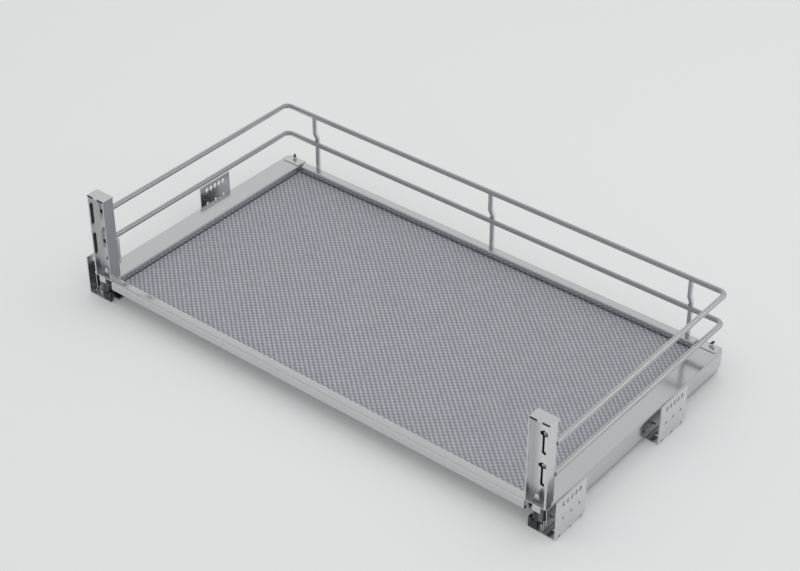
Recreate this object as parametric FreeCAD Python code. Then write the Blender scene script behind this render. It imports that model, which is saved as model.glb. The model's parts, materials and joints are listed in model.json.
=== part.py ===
import FreeCAD, Part
import math
import os

# Pull-out pot basket for a 900 mm base cabinet: a steel deck with a mat, a wire gallery on
# three sides and two front brackets for the cabinet's front panel, on two full-extension
# ball slides, each carried by two angle brackets that screw to the cabinet's side.
#
# Millimetres. +X is to the right seen from the front, +Y points into the cabinet, +Z is up.
# The origin lies at the middle of the whole object, on the underside of the angle brackets.

# Overall sizes
cabinet_inner_width = 864.0
side_gap = 16.0
deck_depth = 434.0
slide_height = 39.3
slide_travel = 425.0

# Deck: side channels, front rail, back rail, base panel and mat
deck_sheet = 1.2
inside_bend = 0.8
channel_width = 38.0
channel_skirt = 26.0
channel_rear_corner = 8.0
front_rail_depth = 14.0
front_rail_height = 16.4
front_rail_edge = 4.0
front_rail_lip = 6.0
back_rail_depth = 15.0
back_rail_height = 24.0
back_rail_end_gap = 4.5
base_sheet = 1.0
base_flange = 10.0
mat_recess = 10.0
mat_thickness = 1.5
mat_edge_gap = 0.5
mat_corner = 3.0

# Wire gallery
wire_diameter = 8.0
wire_corner = 10.0
wire_inset = 5.5
upper_wire_height = 98.5
lower_wire_height = 47.5
post_inset = 25.0
post_tail = 16.0
post_crank_start = 6.0
post_crank_rise = 12.0
post_crank_bend = 8.0
post_top_setback = 2.0
post_weld = 1.5

# Front brackets
bracket_width = 33.5
bracket_outer_inset = 1.5
bracket_depth = 21.0
bracket_height = 140.0
bracket_sheet = 1.5
bracket_tab_width = 12.5
bracket_tab_drop = 10.0
bracket_tab_shift = 2.5
cap_notch_depth = 1.5
cap_notch_inset = 0.8
cap_tab_width = 8.0
floor_slit_width = 2.0
floor_slit_length = 16.0
floor_slit_setback = 5.0
tongue_width = 12.0
tongue_top_width = 4.0
tongue_height = 13.0
tongue_shift = -2.0
cover_sheet = 0.8
cover_gap = 0.8
cover_depth = 13.5
cover_lift = 1.0
keyhole_setback = 13.0
keyhole_head_width = 14.0
keyhole_head_height = 7.0
keyhole_slot = 3.5
keyhole_slot_shift = -1.0
keyhole_slot_rise = 5.5
keyhole_foot = 5.5
keyhole_foot_shift = 1.2
keyhole_drop = 31.0
keyhole_top_margin = 29.1
keyhole_bottom_margin = 27.0
side_slot_width = 6.0
side_slot_length = 36.0
side_slot_setback = 4.0
side_slot_drop = 3.0
stud_diameter = 4.2
stud_recess = 1.0
rivet_diameter = 4.0
rivet_spread = 16.0
rivet_setback = 17.0
rail_rivet_diameter = 5.0

# Angle brackets that screw to the cabinet
plate_sheet = 2.0
plate_length = 66.0
plate_height = 65.0
plate_flange = 50.0
plate_chamfer = 6.0
rear_plate_offset = 243.0
plate_slot_spacing = 9.15
plate_slot_width = 5.6
plate_slot_length = 8.8
plate_slot_height = 55.0
plate_hole = 5.0
plate_hole_height = 30.5
plate_notch = 5.0
plate_notch_spacing = 24.0
plate_notch_height = 2.0
plate_notch_reach = 6.0
release_notch_reach = 5.3
release_notch_depth = 12.0
flange_hole = 5.0
flange_hole_inset = 12.0
flange_hole_spacing = 36.0
rail_rivet_spacing = 40.0
rail_rivet_head = 8.0
rail_rivet_head_depth = 0.8

# Slides
rail_width = 29.0
rail_sheet = 1.5
rail_middle_gap = 2.3
rail_play = 2.5
ball_diameter = 5.0
ball_clearance = 0.2
race_depth = 0.25
ball_row_inset = 8.0
ball_end_margin = 8.8
balls_per_row = 8
cage_sheet = 1.2
cage_web = 0.8
cage_hole_play = 0.1
cage_rim = 3.5
cage_end_margin = 3.0
cabinet_rail_setback = 3.0
cabinet_rail_rear_gap = 4.0
drawer_rail_setback = 24.0
drawer_rail_rear_gap = 7.0
middle_rail_setback = 31.0
middle_rail_corner = 2.0
lever_window = 26.0
stop_height = 1.8
stop_width = 8.0
stop_length = 2.0
front_stop_setback = 11.0
front_tab_reach = 9.0
front_tab_width = 3.0
front_tab_height = 10.0
end_tab_height = 12.0
end_tab_width = 20.0
buffer_length = 4.0
buffer_width = 14.0
buffer_height = 7.0
buffer_gap = 0.3

# Locking devices under the front brackets
lock_setback = 1.8
lock_inner_reach = 3.5
lock_outer_reach = 12.3
lock_body_drop = 25.5
lock_corner = 1.5
lock_cheek = 2.5
lock_pocket_depth = 9.0
lock_hook_reach = 4.0
lock_hook_width = 12.0
lock_hook_thickness = 6.0
lever_arm_width = 5.5
lever_arm_thickness = 3.5
lever_side_play = 0.4
lever_pin = 3.0
lever_pin_play = 0.05
lever_pin_setback = 4.8
lever_pin_drop = 14.5
lever_hub = 3.0
lever_paddle_width = 14.0
lever_paddle_height = 12.2
lever_paddle_thickness = 4.0
lever_paddle_setback = 1.2
lever_ledge_depth = 7.0
lever_ledge_rise = 4.6
lever_ledge_gap = 0.6
lever_floor_gap = 0.8

# Rear corners
clip_sheet = 1.0
clip_depth = 17.0
clip_inner_margin = 1.0
clip_outer_margin = 5.0
clip_rear_drop = 4.0
clip_corner = 3.0
hook_plate_thickness = 2.6
hook_plate_width = 18.0
hook_rear_gap = 1.5
hook_pin = 4.6
hook_pin_rise = 5.0
hook_pin_play = 0.2

# Positions that follow from the sizes above
half_width = cabinet_inner_width / 2
side_outer = half_width - side_gap
side_inner = side_outer - channel_width
slide_x = side_outer - channel_width / 2
front_y = -(deck_depth + wire_diameter) / 2
rear_y = front_y + deck_depth
deck_z = plate_sheet + slide_height + deck_sheet
base_top = deck_z - mat_recess - mat_thickness
bracket_outer = side_outer - bracket_outer_inset
bracket_inner = bracket_outer - bracket_width
bracket_wall = bracket_outer - cover_sheet - cover_gap
bracket_top = deck_z + bracket_height
bracket_middle = bracket_outer - bracket_width / 2
bracket_back = front_y + bracket_depth
bracket_floor_top = deck_z + bracket_sheet
deck_bend = deck_sheet + inside_bend
wire_radius = wire_diameter / 2
wire_y = rear_y - wire_radius
wire_x = side_outer - wire_inset
post_x = side_inner - post_inset
upper_wire_z = deck_z + upper_wire_height
lower_wire_z = deck_z + lower_wire_height
lever_arm_start = slide_x - lock_inner_reach + lock_cheek
lever_arm_end = lever_arm_start + lever_arm_width

# Slide section, measured from the slide's middle plane
rail_bottom = plate_sheet
rail_floor = rail_bottom + rail_sheet
rail_wall = (slide_height - rail_middle_gap) / 2
rail_top = deck_z - deck_sheet
rail_ceiling = rail_top - rail_sheet
rail_bend = rail_sheet + inside_bend
race_half_width = rail_width / 2 - rail_sheet
ball_radius = ball_diameter / 2
ball_offset = race_half_width + race_depth - ball_radius
middle_half_width = ball_offset - ball_radius + race_depth
middle_bottom = rail_floor + rail_play
middle_top = rail_ceiling - rail_play
lower_row_z = rail_bottom + rail_wall - ball_row_inset
upper_row_z = rail_top - rail_wall + ball_row_inset

# Slide lengths along Y
cabinet_rail_front = front_y + cabinet_rail_setback
cabinet_rail_rear = rear_y - cabinet_rail_rear_gap
drawer_rail_front = front_y + drawer_rail_setback
drawer_rail_rear = rear_y - drawer_rail_rear_gap
buffer_front = cabinet_rail_rear - rail_sheet - buffer_length
middle_rail_front = front_y + middle_rail_setback
middle_rail_rear = buffer_front - buffer_gap
lower_stop_rear = cabinet_rail_front + front_stop_setback + stop_length
middle_stop_rear = middle_rail_front + stop_length
drawer_stop_front = drawer_rail_rear - 2 * stop_length
cage_front = middle_stop_rear + slide_travel / 4 + cage_end_margin
cage_rear = drawer_stop_front - slide_travel / 4 - cage_end_margin


def vec(x, y, z):
    return FreeCAD.Vector(x, y, z)


def block(x0, x1, y0, y1, z0, z1):
    """A box between two opposite corners."""
    return Part.makeBox(x1 - x0, y1 - y0, z1 - z0, vec(x0, y0, z0))


def rod(radius, start, end):
    """A round bar from one point to another."""
    along = end - start
    return Part.makeCylinder(radius, along.Length, start, along)


def slot(width, first, last, through):
    """The round-ended cutter that runs from one end centre to the other."""
    across = through.cross(last - first).normalize() * (width / 2)
    corners = [first + across, first - across, last - across, last + across]
    straight = Part.Face(Part.makePolygon(corners + corners[:1])).extrude(through)
    ends = [rod(width / 2, point, point + through) for point in (first, last)]
    return straight.fuse(ends)


def rounded_edges(corners, radii):
    """Line and arc edges along a path, with each inner corner rounded by its radius."""
    edges = []
    here = corners[0]
    for before, corner, after, radius in zip(corners, corners[1:], corners[2:], radii):
        into = (corner - before).normalize()
        out = (after - corner).normalize()
        half_turn = into.getAngle(out) / 2
        reach = radius * math.tan(half_turn)
        inward = (out - into).normalize()
        arc_start = corner - into * reach
        arc_middle = corner + inward * (radius / math.cos(half_turn) - radius)
        arc_end = corner + out * reach
        edges.append(Part.LineSegment(here, arc_start).toShape())
        edges.append(Part.Arc(arc_start, arc_middle, arc_end).toShape())
        here = arc_end
    edges.append(Part.LineSegment(here, corners[-1]).toShape())
    return edges


def folded_sheet(corners, sheet, bends, axis, start, end):
    """A folded strip: its outer face follows the corners, which all turn to the left.

    The corners are pairs in the plane across the axis, in the order (x, z) for "y",
    (y, z) for "x" and (x, y) for "z". bends holds the outer radius of each fold."""
    place = {"x": lambda u, v: vec(start, u, v),
             "y": lambda u, v: vec(u, start, v),
             "z": lambda u, v: vec(u, v, start)}[axis]
    along = {"x": vec(end - start, 0, 0),
             "y": vec(0, end - start, 0),
             "z": vec(0, 0, end - start)}[axis]
    directions = []
    for (u0, v0), (u1, v1) in zip(corners, corners[1:]):
        length = math.hypot(u1 - u0, v1 - v0)
        directions.append(((u1 - u0) / length, (v1 - v0) / length))
    outer = []
    inner = []
    for i, (u, v) in enumerate(corners):
        into = directions[max(i - 1, 0)]
        out = directions[min(i, len(directions) - 1)]
        scale = sheet / (1 + into[0] * out[0] + into[1] * out[1])
        outer.append(place(u, v))
        inner.append(place(u - (into[1] + out[1]) * scale, v + (into[0] + out[0]) * scale))
    edges = rounded_edges(outer, bends)
    edges.append(Part.LineSegment(outer[-1], inner[-1]).toShape())
    edges += rounded_edges(inner[::-1], [bend - sheet for bend in bends[::-1]])
    edges.append(Part.LineSegment(inner[0], outer[0]).toShape())
    return Part.Face(Part.Wire(edges)).extrude(along)


def corner_cutter(x, y, x_way, y_way, radius, z0, z1):
    """What rounds a vertical corner at (x, y), on the side that x_way and y_way point from."""
    centre = vec(x - x_way * radius, y - y_way * radius, z0)
    x_ends = sorted((x, centre.x))
    y_ends = sorted((y, centre.y))
    square = block(x_ends[0], x_ends[1], y_ends[0], y_ends[1], z0, z1)
    return square.cut(rod(radius, centre, centre + vec(0, 0, z1 - z0)))


def wire_along(edges, radius, start, along):
    """A round wire swept along joined edges."""
    circle = Part.Wire(Part.makeCircle(radius, start, along))
    return Part.Wire(edges).makePipeShell([circle], True, False)


def save(name, shape):
    shape = shape.removeSplitter()
    shape.exportStep("parts/" + name + ".step")


def save_pair(name, right_shape):
    """Save the right-hand piece and its mirror image on the left."""
    save(name + "_right", right_shape)
    save(name + "_left", right_shape.mirror(vec(0, 0, 0), vec(1, 0, 0)))


def side_channel():
    """Upside-down U that covers the slide, open at its rear, with a notch for the front rail."""
    low = deck_z - channel_skirt
    front = front_y + bracket_sheet
    corners = [(side_outer, low), (side_outer, deck_z), (side_inner, deck_z), (side_inner, low)]
    shell = folded_sheet(corners, deck_sheet, [deck_bend] * 2, "y", front, rear_y)
    notch = block(side_inner, bracket_inner, front, front_y + front_rail_depth, low, deck_z)
    corner = corner_cutter(side_outer, rear_y, 1, 1, channel_rear_corner, low, deck_z)
    hook_hole = hook_pin_rod(hook_pin / 2 + hook_pin_play)
    return shell.cut([notch, corner, hook_hole] + bracket_rivet_rods())


def front_rail():
    """Folded front rail between the two brackets."""
    lip_z = deck_z - front_rail_height
    back = front_y + front_rail_depth
    corners = [(back, base_top), (back, deck_z), (front_y, deck_z),
               (front_y, lip_z), (front_y + front_rail_lip, lip_z)]
    bends = [deck_bend, front_rail_edge, deck_bend]
    return folded_sheet(corners, deck_sheet, bends, "x", -bracket_inner, bracket_inner)


def back_rail():
    """Folded back rail between the side channels, a little short of both."""
    front = rear_y - back_rail_depth
    corners = [(rear_y, deck_z - back_rail_height), (rear_y, deck_z),
               (front, deck_z), (front, base_top)]
    end = side_inner - back_rail_end_gap
    return folded_sheet(corners, deck_sheet, [deck_bend] * 2, "x", -end, end)


def base_panel():
    """Base under the mat, with a flange down each side against the side channels."""
    low = base_top - base_flange
    corners = [(side_inner, low), (side_inner, base_top),
               (-side_inner, base_top), (-side_inner, low)]
    front = front_y + front_rail_depth - deck_sheet
    rear = rear_y - back_rail_depth + deck_sheet
    return folded_sheet(corners, base_sheet, [base_sheet + inside_bend] * 2, "y", front, rear)


def mat():
    """Anti-slip mat, loose in the recess of the deck."""
    x = side_inner - mat_edge_gap
    front = front_y + front_rail_depth + mat_edge_gap
    rear = rear_y - back_rail_depth - mat_edge_gap
    top = base_top + mat_thickness
    cutters = []
    for x_way in (-1, 1):
        for y, y_way in ((front, -1), (rear, 1)):
            cutters.append(corner_cutter(x_way * x, y, x_way, y_way, mat_corner, base_top, top))
    return block(-x, x, front, rear, base_top, top).cut(cutters)


def gallery_wire(z):
    """Wire bent to a U, from one front bracket round the back to the other."""
    corners = [vec(wire_x, bracket_back, z), vec(wire_x, wire_y, z),
               vec(-wire_x, wire_y, z), vec(-wire_x, bracket_back, z)]
    edges = rounded_edges(corners, [wire_corner] * 2)
    return wire_along(edges, wire_radius, corners[0], vec(0, 1, 0))


def back_post(x, upper_wire):
    """Post behind the back rail and the lower wire, cranked forward under the upper wire."""
    post_y = rear_y + wire_radius
    top_y = wire_y + post_top_setback
    crank_z = lower_wire_z + post_crank_start
    top = upper_wire_z - wire_radius + post_weld
    corners = [vec(x, post_y, deck_z - post_tail), vec(x, post_y, crank_z),
               vec(x, top_y, crank_z + post_crank_rise), vec(x, top_y, top)]
    edges = rounded_edges(corners, [post_crank_bend] * 2)
    return wire_along(edges, wire_radius, corners[0], vec(0, 0, 1)).cut(upper_wire)


def keyhole_heads():
    """Heights of the two keyholes' heads."""
    upper = bracket_top - keyhole_top_margin
    lower = deck_z + keyhole_bottom_margin + keyhole_drop
    return [upper, lower]


def bracket_rivet_rods():
    """Rivets through the bracket's floor and the side channel's top."""
    y = front_y + rivet_setback
    return [rod(rivet_diameter / 2, vec(bracket_middle + reach, y, rail_top),
                vec(bracket_middle + reach, y, bracket_floor_top))
            for reach in (-rivet_spread / 2, rivet_spread / 2)]


def floor_tongue():
    """Tapered tongue that stands up behind the slit in the bracket's floor."""
    x = bracket_middle + tongue_shift
    y = front_y + floor_slit_setback + floor_slit_width / 2
    top = bracket_floor_top + tongue_height
    corners = [vec(x - tongue_width / 2, y, bracket_floor_top),
               vec(x + tongue_width / 2, y, bracket_floor_top),
               vec(x + tongue_top_width / 2, y, top), vec(x - tongue_top_width / 2, y, top)]
    face = Part.Face(Part.makePolygon(corners + corners[:1]))
    return face.extrude(vec(0, bracket_sheet, 0))


def front_bracket():
    """Box bracket, open to the front, with a slit and a tongue in its floor and a tab below."""
    corners = [(bracket_wall, front_y), (bracket_wall, bracket_back),
               (bracket_inner, bracket_back), (bracket_inner, front_y)]
    bend = bracket_sheet + inside_bend
    shell = folded_sheet(corners, bracket_sheet, [bend] * 2, "z",
                         deck_z, bracket_top - bracket_sheet)
    inner_back = bracket_back - bracket_sheet
    floor = block(bracket_inner + bracket_sheet, bracket_wall - bracket_sheet,
                  front_y, inner_back, deck_z, bracket_floor_top)
    tab_x = bracket_middle + bracket_tab_shift
    tab = block(tab_x - bracket_tab_width / 2, tab_x + bracket_tab_width / 2,
                front_y, front_y + bracket_sheet, deck_z - bracket_tab_drop, deck_z)
    slit_y = front_y + floor_slit_setback
    slit_reach = vec((floor_slit_length - floor_slit_width) / 2, 0, 0)
    slit_middle = vec(bracket_middle, slit_y, deck_z)
    slit = slot(floor_slit_width, slit_middle - slit_reach, slit_middle + slit_reach,
                vec(0, 0, bracket_sheet))
    cutters = bracket_rivet_rods() + [slit]
    y = front_y + side_slot_setback
    reach = (side_slot_length - side_slot_width) / 2
    for head in keyhole_heads():
        middle = vec(bracket_wall - bracket_sheet, y, head - side_slot_drop)
        cutters.append(slot(side_slot_width, middle - vec(0, 0, reach),
                            middle + vec(0, 0, reach), vec(bracket_sheet, 0, 0)))
    return shell.fuse([floor, tab, floor_tongue()]).cut(cutters)


def keyhole_plate():
    """Plate inside the bracket, with the two keyholes that the front panel hangs on."""
    front = front_y + keyhole_setback
    plate = block(bracket_inner + bracket_sheet, bracket_wall - bracket_sheet,
                  front, front + bracket_sheet, bracket_floor_top, bracket_top - bracket_sheet)
    through = vec(0, bracket_sheet, 0)
    cutters = []
    half_head = vec((keyhole_head_width - keyhole_head_height) / 2, 0, 0)
    slot_reach = keyhole_slot_rise - keyhole_slot / 2
    for head_z in keyhole_heads():
        head = vec(bracket_middle, front, head_z)
        line = head + vec(keyhole_slot_shift, 0, 0)
        foot = head + vec(keyhole_foot_shift, 0, -keyhole_drop)
        cutters.append(slot(keyhole_head_height, head - half_head, head + half_head, through))
        cutters.append(slot(keyhole_slot, line - vec(0, 0, keyhole_drop),
                            line + vec(0, 0, slot_reach), through))
        cutters.append(rod(keyhole_foot / 2, foot, foot + through))
    return plate.cut(cutters)


def panel_studs():
    """Studs on the bracket's back wall that end just inside the keyholes' heads."""
    start_y = bracket_back - bracket_sheet
    end_y = front_y + keyhole_setback + stud_recess
    studs = [rod(stud_diameter / 2, vec(bracket_middle, start_y, z),
                 vec(bracket_middle, end_y, z)) for z in keyhole_heads()]
    return Part.makeCompound(studs)


def bracket_cap():
    """Lid of the bracket, with a notch each side of the tab in its front edge."""
    low = bracket_top - bracket_sheet
    plate = block(bracket_inner, bracket_outer, front_y, bracket_back, low, bracket_top)
    ends = [(bracket_inner + cap_notch_inset, bracket_middle - cap_tab_width / 2),
            (bracket_middle + cap_tab_width / 2, bracket_outer - cap_notch_inset)]
    notches = [block(x0, x1, front_y, front_y + cap_notch_depth, low, bracket_top)
               for x0, x1 in ends]
    return plate.cut(notches)


def bracket_cover():
    """Thin cover that stands off the bracket's outer wall and hides its slots."""
    rear = front_y + cover_depth
    corners = [(bracket_wall, front_y), (bracket_outer, front_y),
               (bracket_outer, rear), (bracket_wall, rear)]
    bend = cover_sheet + min(inside_bend, cover_gap / 2)
    return folded_sheet(corners, cover_sheet, [bend] * 2, "z",
                        deck_z + cover_lift, bracket_top - bracket_sheet)


def lever_pin_rod(radius, x0, x1):
    """The lever's pin, or the hole for it."""
    y = front_y + lever_pin_setback
    z = deck_z - lever_pin_drop
    return rod(radius, vec(x0, y, z), vec(x1, y, z))


def lock_body():
    """Plastic lock under the bracket: a block with a pocket for the lever, and a hook."""
    x0 = slide_x - lock_inner_reach
    x1 = slide_x + lock_outer_reach
    front = front_y + lock_setback
    rear = bracket_back - bracket_sheet
    low = deck_z - lock_body_drop
    body = block(x0, x1, front, rear, low, rail_top)
    vertical = [edge for edge in body.Edges
                if abs(edge.Vertexes[0].Z - edge.Vertexes[-1].Z) > lock_corner]
    body = body.makeFillet(lock_corner, vertical)
    hook = block(x0, x0 + lock_hook_width, rear, drawer_rail_front + lock_hook_reach,
                 rail_ceiling - lock_hook_thickness, rail_ceiling)
    hook_notch = block(x0, x1, rear, drawer_rail_front,
                       rail_ceiling - lock_hook_thickness,
                       rail_ceiling - lock_hook_thickness / 2)
    pocket_top = deck_z - lever_pin_drop + lever_hub + lock_cheek
    pocket = block(lever_arm_start - lever_side_play, lever_arm_end + lever_side_play,
                   front, front + lock_pocket_depth, low, pocket_top)
    return body.fuse(hook.cut(hook_notch)).cut([pocket, lever_pin_piece()])


def release_lever():
    """Lever that hangs from its pin: a narrow arm, a wide paddle and a ledge on the paddle."""
    y = front_y + lever_pin_setback
    z = deck_z - lever_pin_drop
    paddle_x = lever_arm_end - lever_paddle_width
    paddle_top = lever_floor_gap + lever_paddle_height
    paddle_front = front_y + lever_paddle_setback
    hub = rod(lever_hub, vec(lever_arm_start, y, z), vec(lever_arm_end, y, z))
    arm = block(lever_arm_start, lever_arm_end, y - lever_hub, y - lever_hub + lever_arm_thickness,
                lever_floor_gap, z)
    paddle = block(paddle_x, lever_arm_end,
                   paddle_front, paddle_front + lever_paddle_thickness,
                   lever_floor_gap, paddle_top)
    ledge = block(paddle_x, slide_x - lock_inner_reach - lever_ledge_gap,
                  paddle_front, paddle_front + lever_ledge_depth,
                  paddle_top, paddle_top + lever_ledge_rise)
    hole = lever_pin_rod(lever_pin / 2 + lever_pin_play, lever_arm_start, lever_arm_end)
    return hub.fuse([arm, paddle, ledge]).cut(hole)


def lever_pin_piece():
    return lever_pin_rod(lever_pin / 2, slide_x - lock_inner_reach, lever_arm_end + lock_cheek)


def hook_pin_rod(radius):
    """The pin that stands up through the rear corner of the deck, or the hole for it."""
    y = rear_y - (drawer_rail_rear_gap + hook_rear_gap) / 2
    return rod(radius, vec(slide_x, y, rail_top - hook_plate_thickness),
               vec(slide_x, y, deck_z + hook_pin_rise))


def rear_hook():
    """Hook behind the drawer rail: a plate under the channel's top and a pin through it."""
    plate = block(slide_x - hook_plate_width / 2, slide_x + hook_plate_width / 2,
                  drawer_rail_rear, rear_y - hook_rear_gap,
                  rail_top - hook_plate_thickness, rail_top)
    return plate.fuse(hook_pin_rod(hook_pin / 2))


def rear_clip():
    """Small angle that lies on the channel's rear end and turns down behind it."""
    inside = min(inside_bend, clip_rear_drop / 2)
    rear = rear_y + inside + clip_sheet
    top = deck_z + clip_sheet
    corners = [(rear, deck_z - clip_rear_drop), (rear, top), (rear_y - clip_depth, top)]
    bend = clip_sheet + inside
    x0 = side_inner + clip_inner_margin
    x1 = side_outer - clip_outer_margin
    shape = folded_sheet(corners, clip_sheet, [bend], "x", x0, x1)
    corner = corner_cutter(x1, rear_y - clip_depth, 1, -1, clip_corner, deck_z, top)
    return shape.cut([corner, hook_pin_rod(hook_pin / 2 + hook_pin_play)])


def races(y0, y1, rows):
    """The round grooves that the balls run in."""
    radius = ball_radius + ball_clearance
    return [rod(radius, vec(slide_x + way * ball_offset, y0, z),
                vec(slide_x + way * ball_offset, y1, z)) for way in (-1, 1) for z in rows]


def plate_starts():
    """Front edges of the front and rear angle brackets."""
    return {"front": front_y, "rear": front_y + rear_plate_offset}


def rail_rivet_places():
    """Middles of the rivets that hold the cabinet rail to its two angle brackets."""
    middles = [start + plate_length / 2 for start in plate_starts().values()]
    return [middle + way * rail_rivet_spacing / 2 for middle in middles for way in (-1, 1)]


def rail_rivet(y):
    """A flush rivet with a countersunk foot in the flange's underside."""
    shank = rod(rail_rivet_diameter / 2, vec(slide_x, y, 0), vec(slide_x, y, rail_floor))
    foot = rod(rail_rivet_head / 2, vec(slide_x, y, 0), vec(slide_x, y, rail_rivet_head_depth))
    return shank.fuse(foot)


def release_notch():
    """What is cut from the front angle bracket's flange and the rail to clear the lever."""
    return block(half_width - plate_flange, slide_x + release_notch_reach,
                 front_y, front_y + release_notch_depth, 0, rail_bottom + rail_wall)


def cabinet_rail():
    """Outer rail: a U on the angle brackets, with end stops and room for the lever."""
    x0 = slide_x - rail_width / 2
    x1 = slide_x + rail_width / 2
    high = rail_bottom + rail_wall
    corners = [(x0, high), (x0, rail_bottom), (x1, rail_bottom), (x1, high)]
    shell = folded_sheet(corners, rail_sheet, [rail_bend] * 2, "y",
                         cabinet_rail_front, cabinet_rail_rear)
    end_tab = block(slide_x - end_tab_width / 2, slide_x + end_tab_width / 2,
                    cabinet_rail_rear - rail_sheet, cabinet_rail_rear,
                    rail_floor, rail_floor + end_tab_height)
    tab_x = slide_x + front_tab_reach
    front_tab = block(tab_x, tab_x + front_tab_width,
                      cabinet_rail_front, cabinet_rail_front + rail_sheet,
                      rail_floor, rail_floor + front_tab_height)
    stop = block(slide_x - stop_width / 2, slide_x + stop_width / 2,
                 lower_stop_rear - stop_length, lower_stop_rear,
                 rail_floor, rail_floor + stop_height)
    window = block(x0, x0 + rail_sheet, cabinet_rail_front, front_y + lever_window,
                   rail_bottom + rail_bend, high)
    cutters = races(cabinet_rail_front + rail_sheet, cabinet_rail_rear, [lower_row_z])
    cutters += [window, release_notch()] + [rail_rivet(y) for y in rail_rivet_places()]
    return shell.fuse([end_tab, front_tab, stop]).cut(cutters)


def rail_buffer():
    """Rubber buffer in front of the cabinet rail's end tab."""
    low = middle_bottom
    return block(slide_x - buffer_width / 2, slide_x + buffer_width / 2,
                 buffer_front, cabinet_rail_rear - rail_sheet, low, low + buffer_height)


def middle_rail():
    """Middle rail: a hollow bar between the two rows of balls, with a stop for a cage."""
    def bar(inset):
        half = middle_half_width - inset
        shape = block(slide_x - half, slide_x + half, middle_rail_front, middle_rail_rear,
                      middle_bottom + inset, middle_top - inset)
        long_edges = [edge for edge in shape.Edges
                      if abs(edge.Vertexes[0].Y - edge.Vertexes[-1].Y) > rail_sheet]
        return shape.makeFillet(max(middle_rail_corner - inset, inside_bend), long_edges)
    stop = block(slide_x - stop_width / 2, slide_x + stop_width / 2,
                 middle_rail_front, middle_stop_rear, middle_top, middle_top + stop_height)
    cutters = races(middle_rail_front, middle_rail_rear, [lower_row_z, upper_row_z])
    return bar(0).cut(bar(rail_sheet)).fuse(stop).cut(cutters)


def drawer_rail():
    """Inner rail under the side channel, with a stop for the upper cage at its rear."""
    x0 = slide_x - rail_width / 2
    x1 = slide_x + rail_width / 2
    low = rail_top - rail_wall
    corners = [(x1, low), (x1, rail_top), (x0, rail_top), (x0, low)]
    shell = folded_sheet(corners, rail_sheet, [rail_bend] * 2, "y",
                         drawer_rail_front, drawer_rail_rear)
    stop = block(slide_x - stop_width / 2, slide_x + stop_width / 2,
                 drawer_stop_front, drawer_stop_front + stop_length,
                 rail_ceiling - stop_height, rail_ceiling)
    return shell.fuse(stop).cut(races(drawer_rail_front, drawer_rail_rear, [upper_row_z]))


def ball_places(row_z):
    """Middles of the balls in the two rows of one cage."""
    first = cage_front + ball_end_margin
    spacing = (cage_rear - ball_end_margin - first) / (balls_per_row - 1)
    return [vec(slide_x + way * ball_offset, first + i * spacing, row_z)
            for way in (-1, 1) for i in range(balls_per_row)]


def ball_cage(row_z, web_z, way_up):
    """Thin U that keeps the balls apart. way_up is 1 for the lower cage, -1 for the upper."""
    outside = ball_offset + cage_sheet / 2
    inside = ball_offset - cage_sheet / 2
    web_ends = sorted((web_z, web_z + way_up * cage_web))
    wall_ends = sorted((web_z, row_z + way_up * cage_rim))
    web = block(slide_x - outside, slide_x + outside, cage_front, cage_rear, *web_ends)
    walls = [block(slide_x + min(a, b), slide_x + max(a, b), cage_front, cage_rear, *wall_ends)
             for a, b in ((-outside, -inside), (inside, outside))]
    reach = vec(cage_sheet, 0, 0)
    holes = [rod(ball_radius + cage_hole_play, place - reach, place + reach)
             for place in ball_places(row_z)]
    return web.fuse(walls).cut(holes)


def balls(row_z):
    return Part.makeCompound([Part.makeSphere(ball_radius, place)
                              for place in ball_places(row_z)])


def mounting_bracket(start):
    """Angle bracket: an upright plate for the cabinet's side and a flange for the rail."""
    end = start + plate_length
    corners = [(half_width - plate_flange, 0), (half_width, 0), (half_width, plate_height)]
    shape = folded_sheet(corners, plate_sheet, [plate_sheet + inside_bend], "y", start, end)
    x = half_width - plate_sheet
    through = vec(plate_sheet, 0, 0)
    middle_y = start + plate_length / 2
    cutters = [rail_rivet(y) for y in rail_rivet_places() if start < y < end]
    reach = vec(0, 0, (plate_slot_length - plate_slot_width) / 2)
    for i in range(-2, 3):
        place = vec(x, middle_y + i * plate_slot_spacing, plate_slot_height)
        cutters.append(slot(plate_slot_width, place - reach, place + reach, through))
    for i in range(-1, 2):
        hole = vec(x, middle_y + i * 2 * plate_slot_spacing, plate_hole_height)
        notch = vec(half_width, middle_y + i * plate_notch_spacing, plate_notch_height)
        cutters.append(rod(plate_hole / 2, hole, hole + through))
        cutters.append(rod(plate_notch / 2, notch - vec(plate_notch_reach, 0, 0), notch))
    for way in (-1, 1):
        hole = vec(half_width - flange_hole_inset, middle_y + way * flange_hole_spacing / 2, 0)
        cutters.append(rod(flange_hole / 2, hole, hole + vec(0, 0, plate_sheet)))
    if start == front_y:
        cutters.append(release_notch())
    low_corner = [vec(x, end, 0), vec(x, end, plate_chamfer), vec(x, end - plate_chamfer, 0)]
    chamfer = Part.Face(Part.makePolygon(low_corner + low_corner[:1])).extrude(through)
    return shape.cut(cutters + [chamfer])


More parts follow.
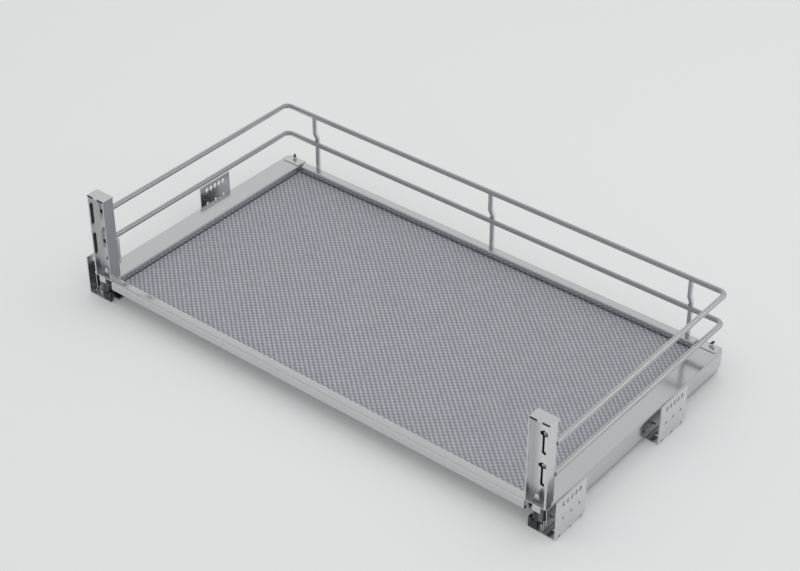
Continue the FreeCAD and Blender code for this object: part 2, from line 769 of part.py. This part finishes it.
def build():
    os.makedirs("parts", exist_ok=True)
    for end, start in plate_starts().items():
        save_pair("mounting_bracket_" + end, mounting_bracket(start))
    save_pair("cabinet_rail", cabinet_rail())
    save_pair("rail_rivets", Part.makeCompound([rail_rivet(y) for y in rail_rivet_places()]))
    save_pair("rail_buffer", rail_buffer())
    save_pair("middle_rail", middle_rail())
    save_pair("drawer_rail", drawer_rail())
    save_pair("lower_cage", ball_cage(lower_row_z, rail_floor + (rail_play - cage_web) / 2, 1))
    save_pair("upper_cage", ball_cage(upper_row_z, rail_ceiling - (rail_play - cage_web) / 2, -1))
    save_pair("lower_balls", balls(lower_row_z))
    save_pair("upper_balls", balls(upper_row_z))
    save_pair("side_channel", side_channel())
    save("front_rail", front_rail())
    save("back_rail", back_rail())
    save("base_panel", base_panel())
    save("mat", mat())
    upper_wire = gallery_wire(upper_wire_z)
    save("upper_wire", upper_wire)
    save("lower_wire", gallery_wire(lower_wire_z))
    for name, x in (("left", -post_x), ("middle", 0), ("right", post_x)):
        save("back_post_" + name, back_post(x, upper_wire))
    save_pair("front_bracket", front_bracket())
    save_pair("keyhole_plate", keyhole_plate())
    save_pair("panel_studs", panel_studs())
    save_pair("bracket_cap", bracket_cap())
    save_pair("bracket_cover", bracket_cover())
    save_pair("bracket_rivets", Part.makeCompound(bracket_rivet_rods()))
    save_pair("lock_body", lock_body())
    save_pair("release_lever", release_lever())
    save_pair("lever_pin", lever_pin_piece())
    save_pair("rear_clip", rear_clip())
    save_pair("rear_hook", rear_hook())


build()
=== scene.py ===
import bmesh
import bpy
import json
import math
from mathutils import Matrix, Vector


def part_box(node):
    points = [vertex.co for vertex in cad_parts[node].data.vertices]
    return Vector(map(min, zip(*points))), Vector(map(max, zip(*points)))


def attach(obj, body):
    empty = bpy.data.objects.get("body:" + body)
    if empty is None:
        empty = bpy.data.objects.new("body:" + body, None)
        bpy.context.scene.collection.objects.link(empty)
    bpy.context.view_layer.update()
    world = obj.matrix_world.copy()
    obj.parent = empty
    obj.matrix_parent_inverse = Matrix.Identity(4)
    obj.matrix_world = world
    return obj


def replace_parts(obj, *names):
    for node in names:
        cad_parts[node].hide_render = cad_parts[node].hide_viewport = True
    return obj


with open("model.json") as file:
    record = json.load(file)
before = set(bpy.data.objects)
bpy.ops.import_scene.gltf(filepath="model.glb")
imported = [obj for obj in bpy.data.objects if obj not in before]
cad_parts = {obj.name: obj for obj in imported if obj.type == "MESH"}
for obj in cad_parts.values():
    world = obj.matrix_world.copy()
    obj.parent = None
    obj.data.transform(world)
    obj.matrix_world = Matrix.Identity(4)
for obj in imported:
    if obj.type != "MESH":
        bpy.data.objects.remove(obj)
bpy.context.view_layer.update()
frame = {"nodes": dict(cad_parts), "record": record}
nodes = frame["nodes"]
sides = {"left": -1, "right": 1}

# The mat, in metres. The yarns have a pitch and a first crossing along x and along y
yarn_pitch = (0.00503, 0.00439)
first_crossing = (-0.00217, -0.00043)
yarn_relief = 0.0005
mat_corner = 0.003

# A yarn's shape: the lean of its crossings, and its section in shares of the pitch, 1 where it
# is high and 0 in the groove
yarn_slant = 0.12
flat_yarn = ((-0.5, 0), (-0.22, 1), (0.22, 1))
round_yarn = ((-0.5, 0), (0, 1))

# Black inserts in the notches of the caps, which paint the shade of the notches, in metres
notch_depth = 0.0015
notch_inset = 0.0008
notch_tab_width = 0.008
cap_sheet = 0.0015
insert_play = 0.00005
insert_bevel = 0.00015
lip_insets = (0.0016, 0.0032)
lip_drop = 0.0008

# Strips behind the slots of the front brackets, in metres
strip_inset = 0.001
strip_top_inset = 0.008
strip_width = 0.006
strip_margin = 0.034
strip_play = 0.00015
strip_thickness = 0.0005

# Welds, in metres. A ring of weld goes into its wire by the overlap, and by the root into the
# face that the wire ends on
wire_radius = 0.004
weld_thickness = 0.0005
weld_overlap = 0.0004
weld_root = 0.0006
bead_radius = 0.0012
bead_ripple = 0.0011

# Ripples as shares of a weld's thickness: of a bead, and of a ring by count, height and phase
weld_ripple = 0.12
ring_ripples = ((9, 0.18, 0), (4, 0.1, 1))

# A bead's distance from the middle of its wire, and its reach up and down, in radii of the wire
bead_aside = 0.55
bead_reach = 0.6

# Pins of the rear hooks and studs, in metres
pin_radius = 0.0023
sleeve_play = 0.00005
sleeve_wall = 0.0006
tip_radius = 0.0018
tip_lean = (0.003, 0.0025, 0.0035)
stud_radius = 0.0021
# The stud sockets are flat black hexagons on the studs' faces: painted shade
socket_radius = 0.0013
socket_depth = 0.00015

# Dark plugs that paint the shade in the notches of the angle brackets, in metres
plug_spacing = 0.024
plug_height = 0.00225
plug_curve = 0.0027
plug_inset = 0.0003
plug_length = 0.0024

# How finely round shapes are divided
rod_corners = 12
rings_per_ripple = 6
sleeve_steps = 32
weld_steps = 36

# Looks of an edge: its radius in metres, the cosines between its rounded and its true normal
# where it begins and where it is full, and how much brighter metal is painted there as a
# highlight
edge_radius = 0.0004
edge_cosines = (0.98, 0.8)
painted_edge_highlight_gain = 1.12

# Looks of a fold: the largest part of its normal where it begins and where it is full, and the
# part along x where it begins to run across the deck and where it fully does. Folds that run
# across the deck get a brighter tone, a painted highlight
fold_flatness = (0.995, 0.93)
fold_across = (0.2, 0.05)

# Most of a noise lies in this range
noise_range = (0.3, 0.7)

# The studio. The room that metal mirrors has a level, which changes along x, along y and with
# both together
floor_half = 14.0
floor_tones = ((0.6465, 0.6525, 0.6565), (0.6565, 0.6625, 0.6665))
floor_glow = 0.1
backdrop = (0.625, 0.63, 0.633)
white = (1.0, 1.0, 1.0)
plain_light = 0.81
room_level = 0.48
room_along_x = 0.09
room_along_y = 0.165
room_twist = 0.33

# The camera, worked out from the photograph's own lines: angles in degrees, place in metres
camera_azimuth = 39.17
camera_elevation = 35.85
camera_roll = -0.04
camera_lens = 84.54
camera_place = (1.39161, -1.71412, 1.68023)


# Materials

class Nodes:
    """The nodes of a material or of the world, built up call by call."""

    def __init__(self, tree):
        self.tree = tree

    def add(self, kind, **settings):
        node = self.tree.nodes.new(kind)
        for key, value in settings.items():
            setattr(node, key, value)
        return node

    def link(self, source, target):
        self.tree.links.new(source, target)

    def feed(self, value, socket):
        """Join an output to a socket, or set the socket to a plain number or colour."""
        if isinstance(value, bpy.types.NodeSocket):
            self.link(value, socket)
        elif socket.type == "RGBA":
            socket.default_value = (*value, 1.0)
        else:
            socket.default_value = value

    def math(self, operation, a, b=0.0):
        node = self.add("ShaderNodeMath", operation=operation)
        self.feed(a, node.inputs[0])
        self.feed(b, node.inputs[1])
        return node.outputs[0]

    def product(self, first, *others):
        for other in others:
            first = self.math("MULTIPLY", first, other)
        return first

    def split(self, vector):
        """The x, y and z of a vector, each as a value."""
        node = self.add("ShaderNodeSeparateXYZ")
        self.link(vector, node.inputs[0])
        return node.outputs


class Shader(Nodes):
    """A node material whose textures follow the object's own coordinates."""

    def __init__(self, name):
        self.material = bpy.data.materials.new(name)
        self.material.use_nodes = True
        super().__init__(self.material.node_tree)
        self.place = self.add("ShaderNodeTexCoord").outputs["Object"]

    def surface(self, settings):
        """Feed the sockets of the material's own shader."""
        sockets = self.tree.nodes["Principled BSDF"].inputs
        for key, value in settings.items():
            self.feed(value, sockets[key])

    def stretched(self, scale):
        """The object's coordinates, scaled along each axis."""
        node = self.add("ShaderNodeMapping")
        self.link(self.place, node.inputs["Vector"])
        node.inputs["Scale"].default_value = scale
        return node.outputs["Vector"]

    def noise(self, scale, detail, roughness, vector=None):
        node = self.add("ShaderNodeTexNoise")
        self.link(vector or self.place, node.inputs["Vector"])
        node.inputs["Scale"].default_value = scale
        node.inputs["Detail"].default_value = detail
        node.inputs["Roughness"].default_value = roughness
        return node.outputs["Fac"]

    def between(self, value, low_in, high_in, low_out=0.0, high_out=1.0):
        node = self.add("ShaderNodeMapRange")
        self.feed(value, node.inputs["Value"])
        for key, number in (("From Min", low_in), ("From Max", high_in),
                            ("To Min", low_out), ("To Max", high_out)):
            node.inputs[key].default_value = number
        return node.outputs["Result"]

    def spread(self, noise, low=0.0, high=1.0):
        """A noise that goes from low to high."""
        return self.between(noise, *noise_range, low, high)

    def mixed(self, share, first, second, data_type="RGBA", **settings):
        node = self.add("ShaderNodeMix", data_type=data_type, **settings)
        self.feed(share, node.inputs["Factor"])
        self.feed(first, node.inputs["A"])
        self.feed(second, node.inputs["B"])
        return node.outputs["Result"]

    def bump(self, height, distance, strength, normal=None):
        node = self.add("ShaderNodeBump")
        node.inputs["Distance"].default_value = distance
        node.inputs["Strength"].default_value = strength
        self.link(height, node.inputs["Height"])
        if normal is not None:
            self.link(normal, node.inputs["Normal"])
        return node.outputs["Normal"]

    def true_normal(self):
        return self.add("ShaderNodeNewGeometry").outputs["Normal"]

    def edge(self):
        """A normal that rounds the edges, and a mask that is 1 on them."""
        bevel = self.add("ShaderNodeBevel", samples=4)
        bevel.inputs["Radius"].default_value = edge_radius
        dot = self.add("ShaderNodeVectorMath", operation="DOT_PRODUCT")
        self.link(bevel.outputs["Normal"], dot.inputs[0])
        self.link(self.true_normal(), dot.inputs[1])
        return bevel.outputs["Normal"], self.between(dot.outputs["Value"], *edge_cosines)

    def folds(self):
        """Masks of the rounded folds, of all of them and of those that run across the deck."""
        x, y, z = (self.math("ABSOLUTE", part) for part in self.split(self.true_normal()))
        flatness = self.math("MAXIMUM", self.math("MAXIMUM", x, y), z)
        fold = self.between(flatness, *fold_flatness)
        return fold, self.product(fold, self.between(x, *fold_across))


def scaled(colour, factor):
    return tuple(min(1.0, c * factor) for c in colour)


def metal(name, colour, roughness, variation=0.04, grain=(1, 1, 1), grain_scale=900.0,
          grain_depth=0.00001, fold_highlight_gain=1.0, fold_roughness=0.0):
    """Satin metal: cloudy tone, fine grain along one way, edges painted brighter as a highlight.
    """
    s = Shader(name)
    normal, rim = s.edge()
    cloud = s.noise(9.0, 4.0, 0.6)
    fine = s.noise(grain_scale, 2.0, 0.6, s.stretched(grain))
    tone = s.mixed(s.spread(cloud), scaled(colour, 1 - variation), scaled(colour, 1 + variation))
    # Painted highlight: the edges get a brighter tone
    tone = s.mixed(s.product(rim, 0.6), tone, scaled(colour, painted_edge_highlight_gain))
    dullness = s.math("ADD", s.spread(cloud, roughness - 0.03, roughness + 0.03),
                      s.spread(fine, -0.02, 0.02))
    if fold_roughness:
        fold, across = s.folds()
        # Painted highlight: folds that run across the deck get a brighter tone
        tone = s.mixed(across, tone, scaled(colour, fold_highlight_gain))
        dullness = s.math("ADD", dullness, s.product(fold, fold_roughness))
    s.surface({"Base Color": tone, "Metallic": 1.0, "Roughness": dullness,
               "Normal": s.bump(fine, grain_depth, 0.5, normal)})
    return s.material


def plastic(name, colour, roughness, grain_scale=2500.0, grain_depth=0.00003):
    """Moulded plastic: fine spark-eroded grain, and edges painted paler as a highlight."""
    s = Shader(name)
    normal, rim = s.edge()
    grain = s.noise(grain_scale, 2.0, 0.6)
    # Painted highlight: the edges get a paler tone
    tone = s.mixed(s.product(rim, 0.7), colour, tuple(c * 1.6 + 0.02 for c in colour))
    s.surface({"Base Color": tone,
               "Roughness": s.spread(grain, roughness - 0.06, roughness + 0.06),
               "Normal": s.bump(grain, grain_depth, 0.5, normal)})
    return s.material


def woven(name, pale, dark):
    """Plain weave of coated yarns: pale where one set is on top, dark where the other is."""
    s = Shader(name)
    straight, skew = [], []
    for axis, pitch, first in zip(s.split(s.place), yarn_pitch, first_crossing):
        turn = s.product(s.math("SUBTRACT", axis, first), math.pi / pitch)
        straight.append(s.math("COSINE", turn))
        skew.append(s.math("SINE", turn))
    crossing = s.math("SUBTRACT", s.product(*straight), s.product(*skew, yarn_slant))
    share = s.between(crossing, -0.25, 0.25)
    along_x = s.noise(1500.0, 3.0, 0.6, s.stretched((0.12, 1, 1)))
    along_y = s.noise(1500.0, 3.0, 0.6, s.stretched((1, 0.12, 1)))
    fibre = s.mixed(share, along_x, along_y, data_type="FLOAT")
    # Painted shade: the tone darkens by up to a fifth towards the grooves between crossings
    groove = s.between(s.math("ABSOLUTE", crossing), 0.0, 0.22, 0.8, 1.0)
    patchy = s.noise(0.6 / yarn_pitch[1], 2.0, 0.7)
    cloud = s.noise(30.0, 4.0, 0.6)
    shade = s.product(groove, s.spread(fibre, 0.9, 1.1), s.spread(patchy, 0.93, 1.07),
                      s.spread(cloud, 0.97, 1.03))
    grey = s.add("ShaderNodeCombineColor")
    for channel in grey.inputs:
        s.link(shade, channel)
    tone = s.mixed(1.0, s.mixed(share, dark, pale), grey.outputs[0], blend_type="MULTIPLY")
    s.surface({"Base Color": tone, "Roughness": s.spread(fibre, 0.5, 0.68),
               "Specular IOR Level": 0.35, "Normal": s.bump(fibre, 0.00006, 0.6)})
    return s.material


materials = {
    "zinc_steel": metal("zinc_steel", (0.70, 0.705, 0.725), 0.26, 0.02, grain_scale=260.0,
                        grain_depth=0.000005),
    "rail_steel": metal("rail_steel", (0.55, 0.555, 0.57), 0.30, 0.05, (1, 0.03, 1)),
    "ball_steel": metal("ball_steel", (0.75, 0.75, 0.76), 0.08, 0.01),
    "deck_paint": metal("deck_paint", (0.625, 0.635, 0.65), 0.15, 0.01, grain_scale=1200.0,
                        fold_highlight_gain=1.4, fold_roughness=0.4),
    "base_steel": metal("base_steel", (0.55, 0.555, 0.56), 0.35, 0.05, (0.05, 1, 1)),
    "bracket_steel": metal("bracket_steel", (0.67, 0.68, 0.69), 0.24, 0.02, (1, 1, 0.05)),
    "keyhole_steel": metal("keyhole_steel", (0.74, 0.765, 0.76), 0.34, 0.02, grain_scale=500.0),
    "wire_steel": metal("wire_steel", (0.545, 0.548, 0.56), 0.28, 0.02, grain_scale=700.0),
    # A lighter copy of the wire steel for the back posts, which are the same wire: painted light
    "post_steel_painted_lighter": metal("post_steel_painted_lighter", (0.72, 0.724, 0.735), 0.28, 0.02, grain_scale=700.0),
    "black_plastic": plastic("black_plastic", (0.028, 0.028, 0.03), 0.42),
    "lever_plastic": plastic("lever_plastic", (0.12, 0.122, 0.125), 0.4),
    "cage_plastic": plastic("cage_plastic", (0.62, 0.62, 0.58), 0.4),
    "buffer_rubber": plastic("buffer_rubber", (0.04, 0.04, 0.042), 0.75, 1400.0, 0.00006),
    "mat": woven("mat", (0.401, 0.408, 0.448), (0.233, 0.238, 0.263)),
}

slot_of = {s["node"]: s["material_slot"] for s in frame["record"]["subparts"]}
for name, node in nodes.items():
    node.data.materials.clear()
    # The back posts take the lighter copy of the wire steel: painted light
    looks = "post_steel_painted_lighter" if name.startswith("back_post_") else slot_of[name]
    node.data.materials.append(materials[looks])


# Pieces that are added to the frame

def new_piece(name, mesh, slot, smooth=True, body="basket"):
    piece = bpy.data.objects.new(name, mesh)
    bpy.context.scene.collection.objects.link(piece)
    mesh.materials.append(materials[slot])
    if smooth:
        mesh.shade_smooth()
    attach(piece, body)
    return piece


def finished(mesh, name):
    data = bpy.data.meshes.new(name)
    mesh.normal_update()
    mesh.to_mesh(data)
    mesh.free()
    return data


def add_block(mesh, low, high, bevel):
    """A block with its twelve edges bevelled."""
    middle = (Vector(low) + Vector(high)) / 2
    size = Vector(high) - Vector(low)
    made = bmesh.ops.create_cube(mesh, size=1.0)
    for vert in made["verts"]:
        vert.co = middle + Vector(c * s for c, s in zip(vert.co, size))
    edges = list({edge for vert in made["verts"] for edge in vert.link_edges})
    bmesh.ops.bevel(mesh, geom=edges, offset=bevel, segments=2, affect="EDGES")


def turn_to(axis):
    return Vector(axis).to_track_quat("Z", "Y").to_matrix()


def add_rod(mesh, start, end, radius, ripple=0.0):
    """A rod with rounded ends from one point to another, or a rippled bead of weld."""
    start, end = Vector(start), Vector(end)
    turn = turn_to(end - start)
    length = (end - start).length
    count = rings_per_ripple * max(2, round(length / bead_ripple))
    angles = [2 * math.pi * i / rod_corners for i in range(rod_corners)]
    rings = []
    for k in range(1, count):
        place = length * k / count
        from_end = min(place, length - place, radius)
        taper = math.sqrt(1 - (1 - from_end / radius) ** 2)
        out = radius * taper * (1 + ripple * math.cos(2 * math.pi * place / bead_ripple))
        centre = start + (end - start) * k / count
        rings.append([mesh.verts.new(centre + turn @ Vector(
                          (out * math.cos(angle), out * math.sin(angle), 0)))
                      for angle in angles])
    for here, following in zip(rings, rings[1:]):
        for i in range(rod_corners):
            j = (i + 1) % rod_corners
            mesh.faces.new((here[i], here[j], following[j], following[i]))
    mesh.faces.new(rings[0][::-1])
    mesh.faces.new(rings[-1])


def add_ring(mesh, centre, axis, profiles):
    """A closed ring round an axis, with a profile of (radius, height) points for each step."""
    turn = turn_to(axis)
    rings = []
    for k, profile in enumerate(profiles):
        angle = 2 * math.pi * k / len(profiles)
        rings.append([mesh.verts.new(Vector(centre) + turn @ Vector(
                          (out * math.cos(angle), out * math.sin(angle), up)))
                      for out, up in profile])
    for here, following in zip(rings, rings[1:] + rings[:1]):
        for i in range(len(here)):
            j = (i + 1) % len(here)
            mesh.faces.new((here[i], following[i], following[j], here[j]))


def add_weld_ring(mesh, centre, axis):
    """A rippled fillet of weld round a wire that ends on a face or on another wire."""
    profiles = []
    for k in range(weld_steps):
        angle = 2 * math.pi * k / weld_steps
        swell = weld_thickness * sum((height * math.sin(angle * count + phase)
                                      for count, height, phase in ring_ripples), 1)
        fillet = ((-weld_overlap, swell * 0.2), (swell * 0.55, swell * 0.45), (swell, 0.0),
                  (swell * 0.9, -weld_root), (-weld_overlap, -weld_root))
        profiles.append([(wire_radius + out, up) for out, up in fillet])
    add_ring(mesh, centre, axis, profiles)


def yarn_stations(low, high, pitch, first, shape):
    """Places along one axis with 1 on a yarn and 0 in the groove between two yarns."""
    stations = [(low, 0)]
    start = math.ceil((low - first) / pitch)
    for i in range(start, math.ceil((high - first) / pitch) + 1):
        for offset, rise in shape:
            place = first + (i + offset) * pitch
            if low + pitch / 4 < place < high - pitch / 4:
                stations.append((place, rise))
    stations.append((high, 0))
    return stations


def in_rounded_corner(x, y, low, high):
    """The point, drawn in to the mat's outline where that turns its corners."""
    centre_x = min(max(x, low.x + mat_corner), high.x - mat_corner)
    centre_y = min(max(y, low.y + mat_corner), high.y - mat_corner)
    reach = math.hypot(x - centre_x, y - centre_y)
    if reach <= mat_corner:
        return x, y
    share = mat_corner / reach
    return centre_x + (x - centre_x) * share, centre_y + (y - centre_y) * share


def woven_mat():
    """The mat's upper face as a relief of yarn crossings, on a thin slab."""
    low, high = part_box("mat")
    columns = yarn_stations(low.x, high.x, yarn_pitch[0], first_crossing[0], flat_yarn)
    rows = yarn_stations(low.y, high.y, yarn_pitch[1], first_crossing[1], round_yarn)
    points = []
    for y, y_rise in rows:
        for x, x_rise in columns:
            place = in_rounded_corner(x, y, low, high)
            points.append((*place, high.z - yarn_relief * (1 - x_rise * y_rise)))
    wide, deep = len(columns), len(rows)
    faces = [(r * wide + c, r * wide + c + 1, (r + 1) * wide + c + 1, (r + 1) * wide + c)
             for r in range(deep - 1) for c in range(wide - 1)]
    rim = list(range(wide - 1))
    rim += [r * wide + wide - 1 for r in range(deep - 1)]
    rim += [(deep - 1) * wide + c for c in range(wide - 1, 0, -1)]
    rim += [r * wide for r in range(deep - 1, 0, -1)]
    base = len(points)
    points += [(points[i][0], points[i][1], low.z) for i in rim]
    count = len(rim)
    faces += [(rim[(k + 1) % count], rim[k], base + k, base + (k + 1) % count)
              for k in range(count)]
    faces.append([base + k for k in reversed(range(count))])
    mesh = bpy.data.meshes.new("woven_mat")
    mesh.from_pydata(points, [], faces)
    mesh.update()
    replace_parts(new_piece("woven_mat", mesh, "mat"), "mat")


def cap_notch_shades(side):
    """Black inserts in the two notches in the front edge of a bracket's cap, with lips below:
    painted shade of the notches.
    """
    low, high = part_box("bracket_cap_" + side)
    middle = (low.x + high.x) / 2
    tab_low, tab_high = middle - notch_tab_width / 2, middle + notch_tab_width / 2
    rear = low.y + notch_depth - insert_play
    first_inset, last_inset = lip_insets[::sides[side]]
    mesh = bmesh.new()
    for x0, x1, lip_x0, lip_x1 in (
            (low.x + notch_inset, tab_low, low.x + first_inset, tab_low),
            (tab_high, high.x - notch_inset, tab_high, high.x - last_inset)):
        add_block(mesh, (x0 + insert_play, low.y, high.z - cap_sheet),
                  (x1 - insert_play, rear, high.z), insert_bevel)
        add_block(mesh, (lip_x0 + insert_play, low.y, high.z - cap_sheet - lip_drop),
                  (lip_x1 - insert_play, rear, high.z - cap_sheet / 2), insert_bevel)
    new_piece("cap_notch_shades_" + side, finished(mesh, "cap_notch_shades"), "black_plastic", False)


def cover_strip(side):
    """Black strip between a bracket's outer wall and its cover, behind the slots, so they show
    dark.
    """
    low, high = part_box("bracket_cover_" + side)
    if side == "right":
        x0 = low.x + strip_play
        x1 = x0 + strip_thickness
    else:
        x1 = high.x - strip_play
        x0 = x1 - strip_thickness
    mesh = bmesh.new()
    add_block(mesh, (x0, low.y + strip_inset, low.z + strip_margin),
              (x1, low.y + strip_inset + strip_width, high.z - strip_top_inset),
              strip_thickness / 5)
    new_piece("cover_strip_" + side, finished(mesh, "cover_strip"), "black_plastic", False)


def pin_fittings(side):
    """A sleeve round the rear hook's pin, and the leaning tip on top of the pin."""
    low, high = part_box("rear_hook_" + side)
    deck_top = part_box("rear_clip_" + side)[1].z
    x, y = (low.x + high.x) / 2, (low.y + high.y) / 2
    inner = pin_radius + sleeve_play
    outer = inner + sleeve_wall
    height = high.z - deck_top
    section = ((inner, 0), (outer, 0), (outer, height - sleeve_wall / 2),
               (outer - sleeve_wall / 2, height), (inner, height))
    mesh = bmesh.new()
    add_ring(mesh, (x, y, deck_top), (0, 0, 1), [section] * sleeve_steps)
    new_piece("pin_sleeve_" + side, finished(mesh, "pin_sleeve"), "cage_plastic")
    mesh = bmesh.new()
    lean_x, lean_y, rise = tip_lean
    add_rod(mesh, (x, y, high.z - tip_radius / 2),
            (x + lean_x * sides[side], y + lean_y, high.z + rise), tip_radius)
    new_piece("pin_tip_" + side, finished(mesh, "pin_tip"), "black_plastic")


def stud_socket_shades(side):
    """Black hexagons on the faces of the two studs: painted shade of hexagonal sockets."""
    low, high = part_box("panel_studs_" + side)
    x = (low.x + high.x) / 2
    mesh = bmesh.new()
    for z in (low.z + stud_radius, high.z - stud_radius):
        ends = []
        for y in (low.y - socket_depth, low.y + socket_depth):
            ends.append([mesh.verts.new((x + socket_radius * math.cos(math.pi * i / 3), y,
                                         z + socket_radius * math.sin(math.pi * i / 3)))
                         for i in range(6)])
        front, rear = ends
        mesh.faces.new(front)
        mesh.faces.new(rear[::-1])
        for i in range(6):
            j = (i + 1) % 6
            mesh.faces.new((front[j], front[i], rear[i], rear[j]))
    new_piece("stud_socket_shades_" + side, finished(mesh, "stud_socket_shades"), "black_plastic", False)


def notch_shade_plugs(bracket):
    """Dark plugs in the three notches on the fold of an angle bracket: painted shade."""
    low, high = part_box("mounting_bracket_" + bracket)
    middle = (low.y + high.y) / 2
    if bracket.endswith("right"):
        outer, inner = high.x - plug_inset, high.x - plug_inset - plug_length
    else:
        outer, inner = low.x + plug_inset, low.x + plug_inset + plug_length
    mesh = bmesh.new()
    for step in (-1, 0, 1):
        y = middle + step * plug_spacing
        add_rod(mesh, (inner, y, plug_height), (outer, y, plug_height), plug_curve)
    new_piece("notch_shade_plugs_" + bracket, finished(mesh, "notch_shade_plugs"), "buffer_rubber",
              body="cabinet_side")


def wire_welds():
    """Welds where the gallery wires end on the brackets and where the posts are fixed."""
    mesh = bmesh.new()
    heights = {}
    for wire in ("upper_wire", "lower_wire"):
        low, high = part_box(wire)
        heights[wire] = (low.z + high.z) / 2
        for x in (low.x + wire_radius, high.x - wire_radius):
            add_weld_ring(mesh, (x, low.y, heights[wire]), (0, 1, 0))
    wire_z = heights["lower_wire"]
    wire_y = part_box("lower_wire")[1].y + bead_radius / 4
    rail_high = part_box("back_rail")[1]
    rail_y = rail_high.y + bead_radius / 4
    for name in ("left", "middle", "right"):
        low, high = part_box("back_post_" + name)
        middle = (low.x + high.x) / 2
        top = heights["upper_wire"] - wire_radius
        add_weld_ring(mesh, (middle, low.y + wire_radius, top), (0, 0, -1))
        for way in (-1, 1):
            x = middle + way * wire_radius * bead_aside
            add_rod(mesh, (x, wire_y, wire_z - wire_radius * bead_reach),
                    (x, wire_y, wire_z + wire_radius * bead_reach), bead_radius, weld_ripple)
            add_rod(mesh, (x, rail_y, low.z + bead_radius),
                    (x, rail_y, rail_high.z - 2 * bead_radius), bead_radius, weld_ripple)
    new_piece("wire_welds", finished(mesh, "wire_welds"), "wire_steel")


woven_mat()
wire_welds()
for side in sides:
    cap_notch_shades(side)
    cover_strip(side)
    pin_fittings(side)
    stud_socket_shades(side)
    notch_shade_plugs("front_" + side)
    notch_shade_plugs("rear_" + side)


# Floor, lights and camera

def floor_piece():
    """A wide pale floor, which glows a little so that the shadows on it stay pale."""
    half = floor_half
    mesh = bpy.data.meshes.new("floor")
    corners = [(-half, -half, 0), (half, -half, 0), (half, half, 0), (-half, half, 0)]
    mesh.from_pydata(corners, [], [(0, 1, 2, 3)])
    piece = bpy.data.objects.new("floor", mesh)
    bpy.context.scene.collection.objects.link(piece)
    s = Shader("floor")
    s.surface({"Base Color": s.mixed(s.noise(1.5, 2.0, 0.5), *floor_tones),
               "Emission Color": white, "Emission Strength": floor_glow,
               "Roughness": 0.85, "Specular IOR Level": 0.2})
    mesh.materials.append(s.material)


def studio_world():
    """A plain backdrop for the camera, a softly graded room for mirror rays, a plain light."""
    world = bpy.data.worlds.new("studio")
    bpy.context.scene.world = world
    world.use_nodes = True
    world.node_tree.nodes.clear()
    n = Nodes(world.node_tree)

    def background(colour, power):
        node = n.add("ShaderNodeBackground")
        n.feed(colour, node.inputs["Color"])
        n.feed(power, node.inputs["Strength"])
        return node.outputs[0]

    def mixed(share, first, second):
        node = n.add("ShaderNodeMixShader")
        for value, socket in zip((share, first, second), node.inputs):
            n.link(value, socket)
        return node.outputs[0]

    x, y = n.split(n.add("ShaderNodeTexCoord").outputs["Generated"])[:2]
    level = n.math("ADD", room_level, n.product(y, room_along_y))
    level = n.math("SUBTRACT", level, n.product(x, room_along_x))
    level = n.math("SUBTRACT", level, n.product(x, y, room_twist))
    ray = n.add("ShaderNodeLightPath").outputs
    mirrored = n.math("MAXIMUM", ray["Is Glossy Ray"], ray["Is Transmission Ray"])
    surface = mixed(mirrored, background(white, plain_light), background(white, level))
    surface = mixed(ray["Is Camera Ray"], surface, background(backdrop, 1.0))
    n.link(surface, n.add("ShaderNodeOutputWorld").inputs["Surface"])


def soft_lamp(name, place, target, width, power, mirrored):
    """A soft square light that is either seen in the metal only or lights the rest only."""
    data = bpy.data.lights.new(name, "AREA")
    data.shape = "RECTANGLE"
    data.size, data.size_y = width, width
    data.energy = power
    lamp = bpy.data.objects.new(name, data)
    bpy.context.scene.collection.objects.link(lamp)
    lamp.location = place
    aim = Vector(target) - Vector(place)
    lamp.rotation_euler = aim.to_track_quat("-Z", "Y").to_euler()
    lamp.visible_glossy = mirrored
    lamp.visible_diffuse = not mirrored


def photo_camera():
    azimuth, elevation = math.radians(camera_azimuth), math.radians(camera_elevation)
    back = Vector((math.sin(azimuth) * math.cos(elevation),
                   -math.cos(azimuth) * math.cos(elevation), math.sin(elevation)))
    right = Vector((math.cos(azimuth), math.sin(azimuth), 0))
    up = back.cross(right)
    level = Matrix((right, up, back)).transposed()
    turned = level @ Matrix.Rotation(math.radians(camera_roll), 3, "Z")
    data = bpy.data.cameras.new("camera")
    data.sensor_width = 36.0
    data.lens = camera_lens
    data.clip_start, data.clip_end = 0.05, 60.0
    camera = bpy.data.objects.new("camera", data)
    bpy.context.scene.collection.objects.link(camera)
    camera.matrix_world = Matrix.Translation(camera_place) @ turned.to_4x4()
    bpy.context.scene.camera = camera


floor_piece()
studio_world()
soft_lamp("key", (0.5, 0.5, 2.6), (0, 0.1, 0), 3.6, 21, mirrored=False)
soft_lamp("side_card", (1.05, 0.75, 0.75), (0.42, 0, 0.1), 0.7, 1.3, mirrored=True)
photo_camera()
bpy.context.scene.view_settings.view_transform = "Standard"
